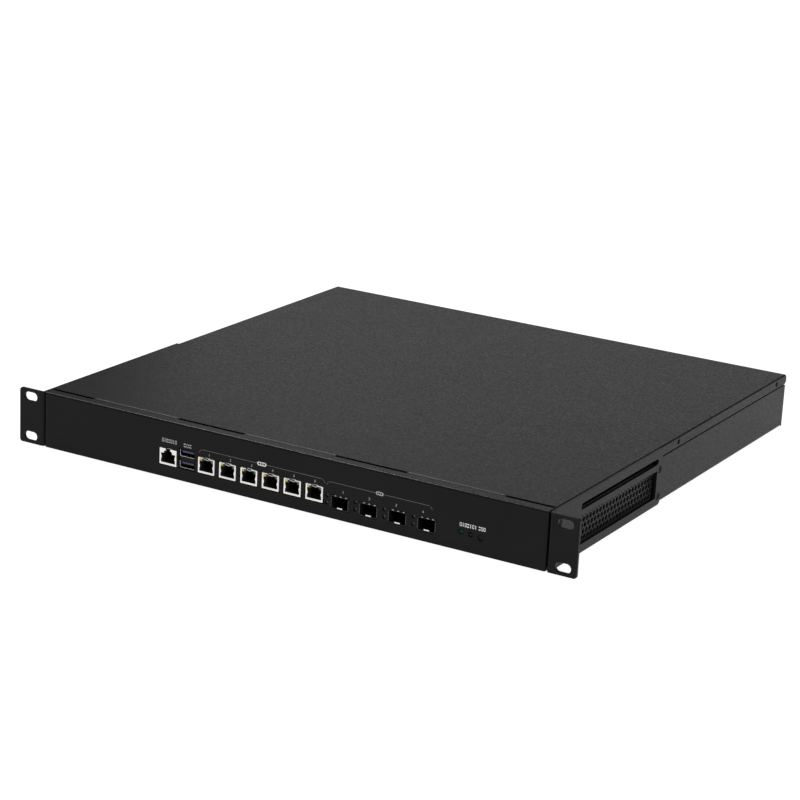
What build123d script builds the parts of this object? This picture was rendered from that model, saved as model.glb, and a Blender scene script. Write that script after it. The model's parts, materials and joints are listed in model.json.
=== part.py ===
"""A rack-mount firewall appliance, one rack unit high, as an assembly of separate pieces.

Millimetres. +X runs to the right along the front, +Y runs from the front to the back, +Z is up. The
origin is at the middle of the base: the front face is at Y = -DEPTH / 2 and the base at Z = 0.
Most places are given as a depth behind the front face, and turned into Y by y_at().
"""

import os
from math import cos, pi, radians, sin

from build123d import *

# Overall sizes
DEPTH = 424.4  # front face to the back of the cover's rear lip
HEIGHT = 44.0
BODY_WIDTH = 436.0
EAR_SPAN = 482.6  # across the two rack ears, the width of a 19 inch front
EAR_HEIGHT = 43.6

# Sheet metal
SHEET = 1.2
EAR_SHEET = 2.0
BEND = 1.5  # outer radius of a fold
GAP = 0.2  # air between sheets that lie beside each other
WALL_TOP = 35.2  # top of the outer side walls, just under the cover's side flanges
REAR_OUT = 421.7  # depth of the rear panel's outer face
REAR_IN = REAR_OUT - SHEET

# Front panel
PANEL_WIDTH = 434.2
LIP = 8.2  # depth of the panel's folded top lip
PORT_GAP = 0.5  # air between a port and its cut-out

# Top cover
COVER_WIDTH = BODY_WIDTH - 2 * 0.1
COVER_FRONT = LIP + 0.3
FLANGE_Z = 36.2  # lower edge of the cover's side flanges
COVER_SCREW_Z = 40.0
COVER_SCREW_DEPTHS = (211.0, 402.7)
LIP_BACK = REAR_OUT + 0.3  # inner face of the cover's rear lip
REAR_LIP_Z = 37.2
REAR_BEND = 3.5  # outer radius of the fold above the cover's rear lip
SLOT_SPANS = ((39.5, 99.0), (178.0, 216.5))  # the cover's front notches, as spans of |X|
NOTCH = 3.0
TAB_BACK = COVER_FRONT + NOTCH + 2.1  # where the cover's front tabs join its top

# Rack ears
EAR_INNER = BODY_WIDTH / 2
EAR_LENGTH = 179.0
EAR_SLOT_X = 230.7
EAR_SLOT = (12.2, 7.0)
EAR_PITCH = 31.75  # the rack's hole spacing within one unit
EAR_SCREWS = ((13.0, 33.0), (13.0, 7.0), (175.4, 28.1), (175.4, 7.0))  # depth and Z
WINDOW = (46.0, 170.8, 6.3, 27.8)  # depth from, depth to, Z from, Z to
AIR_SLOT = (45.3, 172.1, 35.0, 4.7)  # depth from, depth to, middle Z, width

# Perforations
HEX_PITCH = 5.3
HEX_ROW = HEX_PITCH * sin(pi / 3)
HEX_RADIUS = 2.55
MESH_SHEET = 1.0
MESH_SET_BACK = 4.2  # from the ear's outer face to the mesh
MESH = (37.0, 180.0, 1.6, 31.5)  # depth from, depth to, Z from, Z to
VENT = (44.5, 172.0, 4.5, 38.0)  # the open stretch of the side walls, as MESH

# Circuit board
BOARD = (-120.0, 180.0, 3.0, 208.0)  # X from, X to, depth from, depth to
BOARD_TOP = 7.6
BOARD_THICKNESS = 1.6
STANDOFF_XS = (-112.0, 30.0, 172.0)
STANDOFF_DEPTHS = (60.0, 130.0, 200.0)

# Ports, as X of the middle, with Z from and Z to
CONSOLE_X = -100.75
CONSOLE = (15.8, 9.5, 22.5)
USB_X = -83.9
USB = (14.0, 9.9, 25.1)
USB_FRONT = 1.0  # how far the USB sockets are set back
USB_MOUTHS = ((10.6, 15.8), (19.2, 24.4))
LAN_XS = [-66.1 + 18.95 * i for i in range(6)]
LAN = (15.4, 9.8, 22.3)
JACK_DEPTH = 19.0
SFP_XS = [50.35 + 24.0 * i for i in range(4)]
SFP = (14.4, 7.7, 17.6)
SFP_DEPTH = 47.0
SFP_WALL = 0.4
SFP_LAMP_DX = -10.9
SFP_LAMP_ZS = (11.0, 16.6)
LAMPS = (("power_lamp", 150.2, 14.2), ("status_lamp", 157.9, 13.6))  # name, X and Z
LAMP_RADIUS = 1.8
BUTTON_X = 165.8
BUTTON_Z = 12.7

# Fans
FAN = 40.0
FAN_DEPTH = 28.0
FAN_HOLES = 0.4  # from the middle to a corner screw, as a share of the fan's size
FAN_Z = 21.4
FAN_XS = (-180.0, -110.0, -40.0)

# Power supply
PSU = (130.0, 211.5, 268.0, REAR_IN)  # X from, X to, depth from, depth to
PSU_Z = (1.3, 41.3)
PSU_SHEET = 0.8
PSU_FAN_X = 153.0
PSU_FAN_DEPTH = 20.0
PSU_FAN = 38.0
INLET_X = 191.5
INLET_Z = 13.2
ROCKER_Z = 30.3
ROCKER_PIVOT = REAR_IN - 2.0
ROCKER_TILT = 10.0

# Screws, as radii
SCREW_RADIUS = 1.5
SCREW_HOLE = 1.55
SCREW_HEAD = 3.0
COVER_SCREW_RADIUS = 1.2
COVER_SCREW_HOLE = 1.25
COVER_SCREW_HEAD = 2.2
FAN_SCREW_HEAD = 2.3


def y_at(depth):
    """The Y of a place that lies depth behind the front face."""
    return depth - DEPTH / 2


def front_plane(depth):
    """A plane parallel to the front, drawn in X and Z. A negative extrusion runs to the back."""
    return Plane(origin=(0, y_at(depth), 0), x_dir=(1, 0, 0), z_dir=(0, -1, 0))


def side_plane(x):
    """A plane parallel to the right side, drawn in Y and Z. A positive extrusion runs to the right."""
    return Plane.YZ.offset(x)


def block(x0, x1, d0, d1, z0, z1, mode=Mode.ADD):
    """A block between two X, two depths and two Z, in the part that is being built."""
    with Locations(((x0 + x1) / 2, y_at((d0 + d1) / 2), (z0 + z1) / 2)):
        Box(x1 - x0, d1 - d0, z1 - z0, mode=mode)


def rod(x, z, d0, d1, radius, mode=Mode.ADD):
    """A round bar along Y, in the part that is being built."""
    with Locations(Location((x, y_at((d0 + d1) / 2), z), (90, 0, 0))):
        Cylinder(radius, d1 - d0, mode=mode)


def save(part, name):
    part.label = name
    export_step(part, f"parts/{name}.step")


def hexagons(u, v, width, height, mode=Mode.ADD):
    """A field of hexagons in offset rows round (u, v), drawn in the sketch that is being built."""
    columns = int((width / 2 - HEX_RADIUS) / HEX_PITCH) * 2 + 1
    rows = int((height / 2 - HEX_RADIUS) / HEX_ROW) * 2 + 1
    for row in range(rows):
        row_v = v + (row - (rows - 1) / 2) * HEX_ROW
        shift = HEX_PITCH / 2 if row % 2 else 0
        count = columns - row % 2
        first = u - (columns - 1) / 2 * HEX_PITCH + shift
        with Locations([(first + i * HEX_PITCH, row_v) for i in range(count)]):
            RegularPolygon(HEX_RADIUS, 6, rotation=30, mode=mode)


def round_grille(x, z, radius):
    """Hexagonal holes that lie whole inside a circle, drawn in X and Z in the current sketch."""
    reach = int(radius / HEX_ROW)
    spots = []
    for row in range(-reach, reach + 1):
        shift = HEX_PITCH / 2 if row % 2 else 0
        for column in range(-reach - 1, reach + 2):
            u = column * HEX_PITCH + shift
            v = row * HEX_ROW
            if (u * u + v * v) ** 0.5 + HEX_RADIUS <= radius:
                spots.append((x + u, z + v))
    with Locations(spots):
        RegularPolygon(HEX_RADIUS, 6, rotation=30)


def corner_spots(x, z, size=FAN):
    """The four corner screws of a fan, in X and Z."""
    half = size * FAN_HOLES
    return [(x + i * half, z + k * half) for i in (-1, 1) for k in (-1, 1)]


def countersunk(length, radius=SCREW_RADIUS, head=SCREW_HEAD):
    """A countersunk screw along local Z: its flat head lies at 0 and its shank runs down from there."""
    rise = head - radius
    with BuildPart() as screw:
        with BuildSketch(Plane.XZ):
            with BuildLine():
                Polyline(
                    (0, 0),
                    (head, 0),
                    (radius, -rise),
                    (radius, -length),
                    (0, -length),
                    close=True,
                )
            make_face()
        revolve(axis=Axis.Z)
        with BuildSketch(Plane.XY):
            Rectangle(head, 0.5)
            Rectangle(0.5, head)
        extrude(amount=-0.7, mode=Mode.SUBTRACT)
    return screw.part


# ---------------------------------------------------------------- casing


with BuildPart() as chassis_tray:
    with BuildSketch(front_plane(LIP + GAP)) as tray_section:
        with Locations((0, WALL_TOP / 2)):
            Rectangle(BODY_WIDTH, WALL_TOP)
        fillet(tray_section.vertices().group_by(Axis.Z)[0], BEND)
        with Locations((0, WALL_TOP / 2 + SHEET)):
            Rectangle(BODY_WIDTH - 2 * SHEET, WALL_TOP, mode=Mode.SUBTRACT)
        upper_x = BODY_WIDTH / 2 - 0.1 - SHEET - GAP  # outer face of the stepped-in upper wall
        with Locations((-upper_x + SHEET / 2, 38.3), (upper_x - SHEET / 2, 38.3)):
            Rectangle(SHEET, 8.6)
        shelf = BODY_WIDTH / 2 - upper_x + SHEET
        shelf_x = BODY_WIDTH / 2 - shelf / 2
        with Locations((-shelf_x, WALL_TOP - SHEET / 2), (shelf_x, WALL_TOP - SHEET / 2)):
            Rectangle(shelf, SHEET)
    extrude(amount=-(REAR_IN - LIP - GAP))
    block(-215.8, 215.8, SHEET + 0.1, LIP + GAP, 0, SHEET)
    block(-230, 230, *VENT, mode=Mode.SUBTRACT)
    for side in (-1, 1):
        for depth in COVER_SCREW_DEPTHS:
            with Locations(Location((side * 216, y_at(depth), COVER_SCREW_Z), (0, 90, 0))):
                Cylinder(COVER_SCREW_HOLE, 8, mode=Mode.SUBTRACT)
        for depth, z in EAR_SCREWS:
            with Locations(Location((side * 217, y_at(depth), z), (0, 90, 0))):
                Cylinder(SCREW_HOLE, 6, mode=Mode.SUBTRACT)
save(chassis_tray.part, "chassis_tray")


with BuildPart() as front_panel:
    half = PANEL_WIDTH / 2
    block(-half, half, 0, LIP, 0, HEIGHT)
    folds = front_panel.edges().group_by(Axis.Y)[0]
    fillet(folds.filter_by(Axis.Z) + folds.filter_by(Axis.X).sort_by(Axis.Z)[-1:], BEND)
    block(-half + SHEET, half - SHEET, SHEET, LIP, 0, HEIGHT - SHEET, mode=Mode.SUBTRACT)
    block(-half + 4, half - 4, SHEET, 11.0, SHEET + 0.1, 2 * SHEET + 0.1)  # bottom return
    with BuildSketch(front_plane(-1)):
        with Locations((CONSOLE_X, (CONSOLE[1] + CONSOLE[2]) / 2)):
            Rectangle(CONSOLE[0] + 2 * PORT_GAP, CONSOLE[2] - CONSOLE[1] + 2 * PORT_GAP)
        with Locations((USB_X, (USB[1] + USB[2]) / 2)):
            Rectangle(USB[0] + 2 * PORT_GAP, USB[2] - USB[1] + 2 * PORT_GAP)
        with Locations([(x, (LAN[1] + LAN[2]) / 2) for x in LAN_XS]):
            Rectangle(LAN[0] + 2 * PORT_GAP, LAN[2] - LAN[1] + 2 * PORT_GAP)
        with Locations([(x, (SFP[1] + SFP[2]) / 2) for x in SFP_XS]):
            Rectangle(SFP[0] + 0.9, SFP[2] - SFP[1] + 1.1)
        with Locations([(x + SFP_LAMP_DX, z) for x in SFP_XS for z in SFP_LAMP_ZS]):
            Circle(1.5)
        with Locations([(x, z) for _, x, z in LAMPS]):
            Circle(LAMP_RADIUS + 0.15)
        with Locations((BUTTON_X, BUTTON_Z)):
            Circle(2.45)
    extrude(amount=-(SHEET + 2), mode=Mode.SUBTRACT)
save(front_panel.part, "front_panel")


with BuildPart() as rear_panel:
    with BuildSketch(front_plane(REAR_IN)):
        with Locations((0, WALL_TOP / 2)):
            Rectangle(BODY_WIDTH, WALL_TOP)
        with Locations((0, 21.3)):
            Rectangle(2 * upper_x, 42.6)
        with Locations(((PSU[0] + PSU[1]) / 2, 21.3)):
            Rectangle(78.0, 37.0, mode=Mode.SUBTRACT)
    extrude(amount=-SHEET)
    with BuildSketch(front_plane(REAR_IN)):
        for fan_x in FAN_XS:
            round_grille(fan_x, FAN_Z, 18.6)
        hexagons(60, 20, 90, 26)
    extrude(amount=-SHEET, mode=Mode.SUBTRACT)
    for fan_x in FAN_XS:
        for x, z in corner_spots(fan_x, FAN_Z):
            with Locations(Location((x, y_at(REAR_OUT), z), (-90, 0, 0))):
                CounterSinkHole(SCREW_HOLE, FAN_SCREW_HEAD + 0.05, depth=SHEET, counter_sink_angle=90)
save(rear_panel.part, "rear_panel")


with BuildPart() as top_cover:
    half = COVER_WIDTH / 2
    block(-half, half, COVER_FRONT, DEPTH, FLANGE_Z, HEIGHT)
    fillet(top_cover.edges().filter_by(Axis.X).group_by(Axis.Z)[-1].sort_by(Axis.Y)[-1:], REAR_BEND)
    fillet(top_cover.edges().filter_by(Axis.Y).group_by(Axis.Z)[-1], BEND - 0.2)
    inner = half - SHEET
    block(-inner, inner, COVER_FRONT, LIP_BACK, FLANGE_Z, HEIGHT - SHEET, mode=Mode.SUBTRACT)
    block(-half, half, LIP_BACK, DEPTH, FLANGE_Z, REAR_LIP_Z, mode=Mode.SUBTRACT)
    block(-230, 230, VENT[0], VENT[1], FLANGE_Z - 1, VENT[3], mode=Mode.SUBTRACT)
    for side in (-1, 1):
        for start, end in SLOT_SPANS:
            near, far = sorted((side * start, side * end))
            block(near, far, COVER_FRONT, COVER_FRONT + NOTCH, 38, HEIGHT, mode=Mode.SUBTRACT)
            block(near + 2, far - 2, 3.0, TAB_BACK, 40.7, 41.9)  # tab under the front panel's lip
            block(near + 2, far - 2, COVER_FRONT + NOTCH + 0.8, TAB_BACK, 40.7, HEIGHT - SHEET)
        for depth in COVER_SCREW_DEPTHS:
            turn = 90 * side
            with Locations(Location((side * half, y_at(depth), COVER_SCREW_Z), (0, turn, 0))):
                CounterSinkHole(
                    COVER_SCREW_HOLE, COVER_SCREW_HEAD + 0.05, depth=SHEET, counter_sink_angle=90
                )
save(top_cover.part, "top_cover")


with BuildPart() as rack_ear_right:
    outer = EAR_SPAN / 2
    wing = EAR_INNER + EAR_SHEET
    block(EAR_INNER, outer, 0, EAR_SHEET, 0, EAR_HEIGHT)
    block(EAR_INNER, wing, 0, EAR_LENGTH, 0, EAR_HEIGHT)
    upright = rack_ear_right.edges().filter_by(Axis.Z)
    fillet(upright.group_by(Axis.Y)[0].sort_by(Axis.X)[0:1], BEND + 0.7)
    tips = rack_ear_right.edges().filter_by(Axis.Y).group_by(Axis.X)[-1]
    fillet(tips, 2.3)
    rear_corners = rack_ear_right.edges().filter_by(Axis.X).group_by(Axis.Y)[-1]
    fillet(rear_corners, 3.0)
    slot_zs = (EAR_HEIGHT / 2 - EAR_PITCH / 2, EAR_HEIGHT / 2 + EAR_PITCH / 2)
    with BuildSketch(front_plane(0)):
        with Locations([(EAR_SLOT_X, z) for z in slot_zs]):
            SlotOverall(*EAR_SLOT)
    extrude(amount=-EAR_SHEET, mode=Mode.SUBTRACT)
    with BuildSketch(side_plane(EAR_INNER)) as ear_openings:
        with Locations((y_at((WINDOW[0] + WINDOW[1]) / 2), (WINDOW[2] + WINDOW[3]) / 2)):
            RectangleRounded(WINDOW[1] - WINDOW[0], WINDOW[3] - WINDOW[2], 1.0)
        with Locations((y_at((AIR_SLOT[0] + AIR_SLOT[1]) / 2), AIR_SLOT[2])):
            SlotOverall(AIR_SLOT[1] - AIR_SLOT[0], AIR_SLOT[3])
    extrude(amount=EAR_SHEET, mode=Mode.SUBTRACT)
    for depth, z in EAR_SCREWS:
        with Locations(Location((wing, y_at(depth), z), (0, 90, 0))):
            CounterSinkHole(SCREW_HOLE, SCREW_HEAD + 0.05, depth=EAR_SHEET, counter_sink_angle=90)
save(rack_ear_right.part, "rack_ear_right")

with BuildPart() as rack_ear_left:
    add(rack_ear_right.part)
    mirror(about=Plane.YZ, mode=Mode.REPLACE)
save(rack_ear_left.part, "rack_ear_left")


for side, side_name in ((-1, "left"), (1, "right")):
    with BuildPart() as side_mesh:
        outer_face = EAR_INNER + EAR_SHEET - MESH_SET_BACK
        with BuildSketch(side_plane(side * outer_face)):
            with Locations((y_at((MESH[0] + MESH[1]) / 2), (MESH[2] + MESH[3]) / 2)):
                Rectangle(MESH[1] - MESH[0], MESH[3] - MESH[2])
            hexagons(y_at(109.6), 16.5, 133, 27.0, mode=Mode.SUBTRACT)
        extrude(amount=-side * MESH_SHEET)
        wall_inner = BODY_WIDTH / 2 - SHEET
        near, far = sorted((side * outer_face, side * wall_inner))
        for start, end in ((MESH[0], VENT[0] - 1), (VENT[1] + 1, MESH[1])):
            block(near, far, start, end, MESH[2], MESH[3])  # spacer against the wall
    save(side_mesh.part, f"side_mesh_{side_name}")


# ---------------------------------------------------------------- fasteners


def screws_at(places, screw):
    """Copies of a screw as separate solids. Each place is a point and the rotation of its axis."""
    with BuildPart() as group:
        for point, turn in places:
            add(screw.moved(Location(point, turn)))
    return group.part


cover_places = []
for side in (-1, 1):
    for depth in COVER_SCREW_DEPTHS:
        point = (side * COVER_WIDTH / 2, y_at(depth), COVER_SCREW_Z)
        cover_places.append((point, (0, 90 * side, 0)))
cover_screw = countersunk(6.0, COVER_SCREW_RADIUS, COVER_SCREW_HEAD)
save(screws_at(cover_places, cover_screw), "cover_screws")

ear_places = []
for side in (-1, 1):
    for depth, z in EAR_SCREWS:
        point = (side * (EAR_INNER + EAR_SHEET), y_at(depth), z)
        ear_places.append((point, (0, 90 * side, 0)))
save(screws_at(ear_places, countersunk(3.0)), "ear_screws")

fan_places = []
for fan_x in FAN_XS:
    for x, z in corner_spots(fan_x, FAN_Z):
        fan_places.append(((x, y_at(REAR_OUT), z), (-90, 0, 0)))
for x, z in corner_spots(PSU_FAN_X, FAN_Z, PSU_FAN):
    fan_places.append(((x, y_at(REAR_IN), z), (-90, 0, 0)))
save(screws_at(fan_places, countersunk(8.0, head=FAN_SCREW_HEAD)), "fan_screws")


# ---------------------------------------------------------------- circuit board


board_spots = [(x, y_at(depth)) for x in STANDOFF_XS for depth in STANDOFF_DEPTHS]

with BuildPart() as circuit_board:
    block(BOARD[0], BOARD[1], BOARD[2], BOARD[3], BOARD_TOP - BOARD_THICKNESS, BOARD_TOP)
    with BuildSketch(Plane.XY.offset(BOARD_TOP)):
        with Locations(board_spots):
            Circle(SCREW_HOLE)
    extrude(amount=-BOARD_THICKNESS, mode=Mode.SUBTRACT)
save(circuit_board.part, "circuit_board")

with BuildPart() as standoffs:
    with BuildSketch(Plane.XY.offset(SHEET)):
        with Locations(board_spots):
            RegularPolygon(3.0, 6)
            Circle(SCREW_HOLE, mode=Mode.SUBTRACT)
    extrude(amount=BOARD_TOP - BOARD_THICKNESS - SHEET)
save(standoffs.part, "standoffs")

with BuildPart() as board_screws:
    with BuildSketch(Plane.XY.offset(BOARD_TOP)):
        with Locations(board_spots):
            Circle(2.8)
    extrude(amount=1.6)
    with BuildSketch(Plane.XY.offset(BOARD_TOP)):
        with Locations(board_spots):
            Circle(SCREW_RADIUS)
    extrude(amount=-5.0)
save(board_screws.part, "board_screws")

with BuildPart() as chips:
    for x in (-50.0, -12.0, 32.0):
        block(x - 6, x + 6, 36, 48, BOARD_TOP, BOARD_TOP + 1.4)
    block(60, 74, 70, 84, BOARD_TOP, BOARD_TOP + 1.4)
save(chips.part, "chips")

with BuildPart() as capacitors:
    with BuildSketch(Plane.XY.offset(BOARD_TOP)):
        with Locations([(60 + 14 * i, y_at(190)) for i in range(5)]):
            Circle(4.0)
    extrude(amount=12.0)
save(capacitors.part, "capacitors")

with BuildPart() as processor:
    block(-40, -10, 125, 155, BOARD_TOP, BOARD_TOP + 3.2)
save(processor.part, "processor")

with BuildPart() as heatsink:
    base = BOARD_TOP + 3.2
    block(-56, 6, 108, 172, base, base + 3)
    for i in range(14):
        x = -56 + 4.646 * i
        block(x, x + 1.6, 108, 172, base + 3, base + 26)
save(heatsink.part, "heatsink")

with BuildPart() as memory_socket:
    block(58, 132, 148, 156, BOARD_TOP, BOARD_TOP + 5.4)
    block(60.9, 129.1, 147, 152.1, BOARD_TOP + 2.35, BOARD_TOP + 3.65, mode=Mode.SUBTRACT)
save(memory_socket.part, "memory_socket")

with BuildPart() as memory_module:
    block(61, 129, 122, 152, BOARD_TOP + 2.4, BOARD_TOP + 3.6)
    for x in (65.0, 82.0, 99.0, 116.0):
        block(x, x + 10, 128, 140, BOARD_TOP + 3.6, BOARD_TOP + 4.6)
save(memory_module.part, "memory_module")

with BuildPart() as drive_socket:
    block(-101, -77, 190, 197, BOARD_TOP, BOARD_TOP + 4.6)
    block(-100.1, -77.9, 189, 193.1, BOARD_TOP + 2.35, BOARD_TOP + 3.25, mode=Mode.SUBTRACT)
save(drive_socket.part, "drive_socket")

with BuildPart() as drive:
    block(-100, -78, 113, 193, BOARD_TOP + 2.4, BOARD_TOP + 3.2)
    for depth in (124.0, 146.0, 168.0):
        block(-96, -82, depth, depth + 14, BOARD_TOP + 3.2, BOARD_TOP + 4.4)
save(drive.part, "drive")


# ---------------------------------------------------------------- ports


def jack(x, size):
    """A modular jack with its stepped mouth, standing on the board with its nose in the panel."""
    width, low, high = size
    with BuildPart() as shell:
        block(x - width / 2, x + width / 2, 0, 2.0, low, high)
        block(x - width / 2, x + width / 2, 1.8, JACK_DEPTH, BOARD_TOP, high)
        with BuildSketch(front_plane(0)):
            with Locations((x, 15.1)):
                Rectangle(12.0, 6.8)
            with Locations((x, 19.1)):
                Rectangle(6.4, 2.4)
        extrude(amount=-13.0, mode=Mode.SUBTRACT)
        block(x - 9, x + 9, 1.1, 2.2, 0, low, mode=Mode.SUBTRACT)
    return shell.part


save(jack(CONSOLE_X, CONSOLE), "console_jack")
for number, lan_x in enumerate(LAN_XS, 1):
    save(jack(lan_x, LAN), f"lan_jack_{number}")

with BuildPart() as usb_shell:
    left = USB_X - USB[0] / 2
    right = USB_X + USB[0] / 2
    block(left, right, USB_FRONT, 3.0, USB[1], USB[2])
    block(left, right, 3.0, 18.0, BOARD_TOP, USB[2])
    for low, high in USB_MOUTHS:
        block(left + 0.5, right - 0.5, USB_FRONT, 12.0, low, high, mode=Mode.SUBTRACT)
save(usb_shell.part, "usb_shell")

with BuildPart() as usb_tongues:
    for low, high in USB_MOUTHS:
        block(USB_X - 5.4, USB_X + 5.4, 1.8, 12.0, high - 2.2, high - 0.6)
save(usb_tongues.part, "usb_tongues")

for number, sfp_x in enumerate(SFP_XS, 1):
    cage_half = SFP[0] / 2
    with BuildPart() as sfp_cage:
        block(sfp_x - cage_half, sfp_x + cage_half, 0, SFP_DEPTH, SFP[1], SFP[2])
        inner = cage_half - SFP_WALL
        low = SFP[1] + SFP_WALL
        high = SFP[2] - SFP_WALL
        block(sfp_x - inner, sfp_x + inner, 0, SFP_DEPTH - SFP_WALL, low, high, mode=Mode.SUBTRACT)
    save(sfp_cage.part, f"sfp_cage_{number}")

    with BuildPart() as sfp_socket:
        block(sfp_x - 5.4, sfp_x + 5.4, 37, SFP_DEPTH - SFP_WALL, low, low + 5.6)
        block(sfp_x - 4.4, sfp_x + 4.4, 37, 43, low + 2.2, low + 3.6, mode=Mode.SUBTRACT)
    save(sfp_socket.part, f"sfp_socket_{number}")

with BuildPart() as sfp_lamps:
    for sfp_x in SFP_XS:
        lamp_x = sfp_x + SFP_LAMP_DX
        for z in SFP_LAMP_ZS:
            rod(lamp_x, z, 1.3, 5.0, 1.25)
        block(lamp_x - 1.3, lamp_x + 1.3, 4.0, 8.0, BOARD_TOP, SFP_LAMP_ZS[1] + 1.3)
save(sfp_lamps.part, "sfp_lamps")

for lamp_name, lamp_x, lamp_z in LAMPS:
    with BuildPart() as lamp:
        rod(lamp_x, lamp_z, 0.1, 6.0, LAMP_RADIUS)
        block(lamp_x - 2.2, lamp_x + 2.2, 5.0, 9.0, BOARD_TOP, lamp_z + 2.2)
    save(lamp.part, lamp_name)

with BuildPart() as reset_button:
    rod(BUTTON_X, BUTTON_Z, 0.3, 5.0, 2.1)
    rod(BUTTON_X, BUTTON_Z, 2.0, 3.0, 3.0)
    rod(BUTTON_X, BUTTON_Z, 4.8, 10.0, 1.0)
save(reset_button.part, "reset_button")

with BuildPart() as reset_switch:
    block(BUTTON_X - 3.2, BUTTON_X + 3.2, 6.6, 13.0, BOARD_TOP, BUTTON_Z + 3.2)
    rod(BUTTON_X, BUTTON_Z, 6.6, 11.6, 1.05, mode=Mode.SUBTRACT)
save(reset_switch.part, "reset_switch")


# ---------------------------------------------------------------- fans


def fan(name, x, z, back, thickness, size=FAN):
    """A square axial fan whose back face lies at depth back: its frame, then its rotor."""
    front = back - thickness
    bore = size / 2 - 1
    strut = bore + 0.4
    with BuildPart() as frame:
        block(x - size / 2, x + size / 2, front, back, z - size / 2, z + size / 2)
        fillet(frame.edges().filter_by(Axis.Y), 2.5)
        rod(x, z, front, back, bore, mode=Mode.SUBTRACT)
        block(x - strut, x + strut, back - 3.0, back - 1.0, z - 1.5, z + 1.5)
        block(x - 1.5, x + 1.5, back - 3.0, back - 1.0, z - strut, z + strut)
        rod(x, z, back - 3.4, back - 0.6, 10.0)
        rod(x, z, back - thickness + 8, back - 3.0, 3.2)
        rod(x, z, back - thickness + 8, back - 3.0, 1.56, mode=Mode.SUBTRACT)
        for hole_x, hole_z in corner_spots(x, z, size):
            rod(hole_x, hole_z, front, back, SCREW_HOLE, mode=Mode.SUBTRACT)
    save(frame.part, f"{name}_frame")

    middle = (front + 3 + back - 5) / 2
    chord = (back - front - 10) * 0.62
    with BuildPart() as rotor:
        for i in range(7):
            angle = 360 / 7 * i
            blade = Location((x, y_at(middle), z), (0, angle, 0))
            with Locations(blade * Location((13.6, 0, 0), (38, 0, 0))):
                Box(10.8, 1.0, chord / cos(radians(38)))
        rod(x, z, front, back, bore - 0.6, mode=Mode.INTERSECT)
        rod(x, z, front + 2.0, back - 4.2, 10.0)
        rod(x, z, front + 3.4, back - 4.2, 8.8, mode=Mode.SUBTRACT)
        rod(x, z, front + 2.0, back - 4.6, 1.5)
    save(rotor.part, f"{name}_rotor")


for number, fan_x in enumerate(FAN_XS, 1):
    fan(f"fan_{number}", fan_x, FAN_Z, REAR_IN, FAN_DEPTH)


# ---------------------------------------------------------------- power supply


with BuildPart() as supply_case:
    block(PSU[0], PSU[1], PSU[2], PSU[3], PSU_Z[0], PSU_Z[1])
    offset(amount=-PSU_SHEET, kind=Kind.INTERSECTION, mode=Mode.SUBTRACT)
    with BuildSketch(front_plane(PSU[3] + 1)):
        round_grille(PSU_FAN_X, FAN_Z, 17.6)
        with Locations(corner_spots(PSU_FAN_X, FAN_Z, PSU_FAN)):
            Circle(FAN_SCREW_HEAD + 0.05)
        with Locations((INLET_X, INLET_Z)):
            Rectangle(27.2, 19.2)
        with Locations((INLET_X, ROCKER_Z)):
            Rectangle(19.2, 12.0)
    extrude(amount=PSU_SHEET + 2, mode=Mode.SUBTRACT)
    with BuildSketch(front_plane(PSU[2] - 1)):
        hexagons(189, 24, 34, 22)
    extrude(amount=-(PSU_SHEET + 2), mode=Mode.SUBTRACT)
save(supply_case.part, "supply_case")

fan("supply_fan", PSU_FAN_X, FAN_Z, REAR_IN - PSU_SHEET, PSU_FAN_DEPTH, PSU_FAN)

with BuildPart() as supply_board:
    block(PSU[0] + 2, PSU[1] - 2, PSU[2] + 3, 388, 5.0, 6.6)
    block(140, 172, 300, 330, 6.6, 32)
    block(182, 200, 290, 340, 6.6, 30)
    with Locations((155, y_at(360), 19)):
        Cylinder(11, 24.8)
save(supply_board.part, "supply_board")

with BuildPart() as mains_inlet:
    block(INLET_X - 15.3, INLET_X + 15.3, REAR_IN, REAR_IN + 2, INLET_Z - 10.3, INLET_Z + 10.3)
    block(INLET_X - 13.5, INLET_X + 13.5, REAR_IN - 17, REAR_IN, INLET_Z - 9.5, INLET_Z + 9.5)
    with BuildSketch(front_plane(REAR_IN + 2)) as inlet_mouth:
        with Locations((INLET_X, INLET_Z)):
            Rectangle(24.4, 16.4)
        chamfer(inlet_mouth.vertices().group_by(Axis.Z)[-1], 4.5)
    extrude(amount=17.0, mode=Mode.SUBTRACT)
save(mains_inlet.part, "mains_inlet")

with BuildPart() as inlet_pins:
    for dx, dz in ((-7.0, -2.0), (0.0, 2.0), (7.0, -2.0)):
        pin_x = INLET_X + dx
        pin_z = INLET_Z + dz
        block(pin_x - 1, pin_x + 1, REAR_IN - 15, REAR_IN - 1, pin_z - 2, pin_z + 2)
save(inlet_pins.part, "inlet_pins")

with BuildPart() as rocker_frame:
    block(INLET_X - 10.6, INLET_X + 10.6, REAR_IN, REAR_IN + 2, ROCKER_Z - 6.5, ROCKER_Z + 6.5)
    block(INLET_X - 9.5, INLET_X + 9.5, REAR_IN - 14, REAR_IN, ROCKER_Z - 5.9, ROCKER_Z + 5.9)
    block(
        INLET_X - 8.3,
        INLET_X + 8.3,
        REAR_IN - 6,
        REAR_IN + 2,
        ROCKER_Z - 5.1,
        ROCKER_Z + 5.1,
        mode=Mode.SUBTRACT,
    )
    with Locations((INLET_X, y_at(ROCKER_PIVOT), ROCKER_Z)):
        Cylinder(1.05, 11.8, mode=Mode.SUBTRACT)
save(rocker_frame.part, "rocker_frame")

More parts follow.
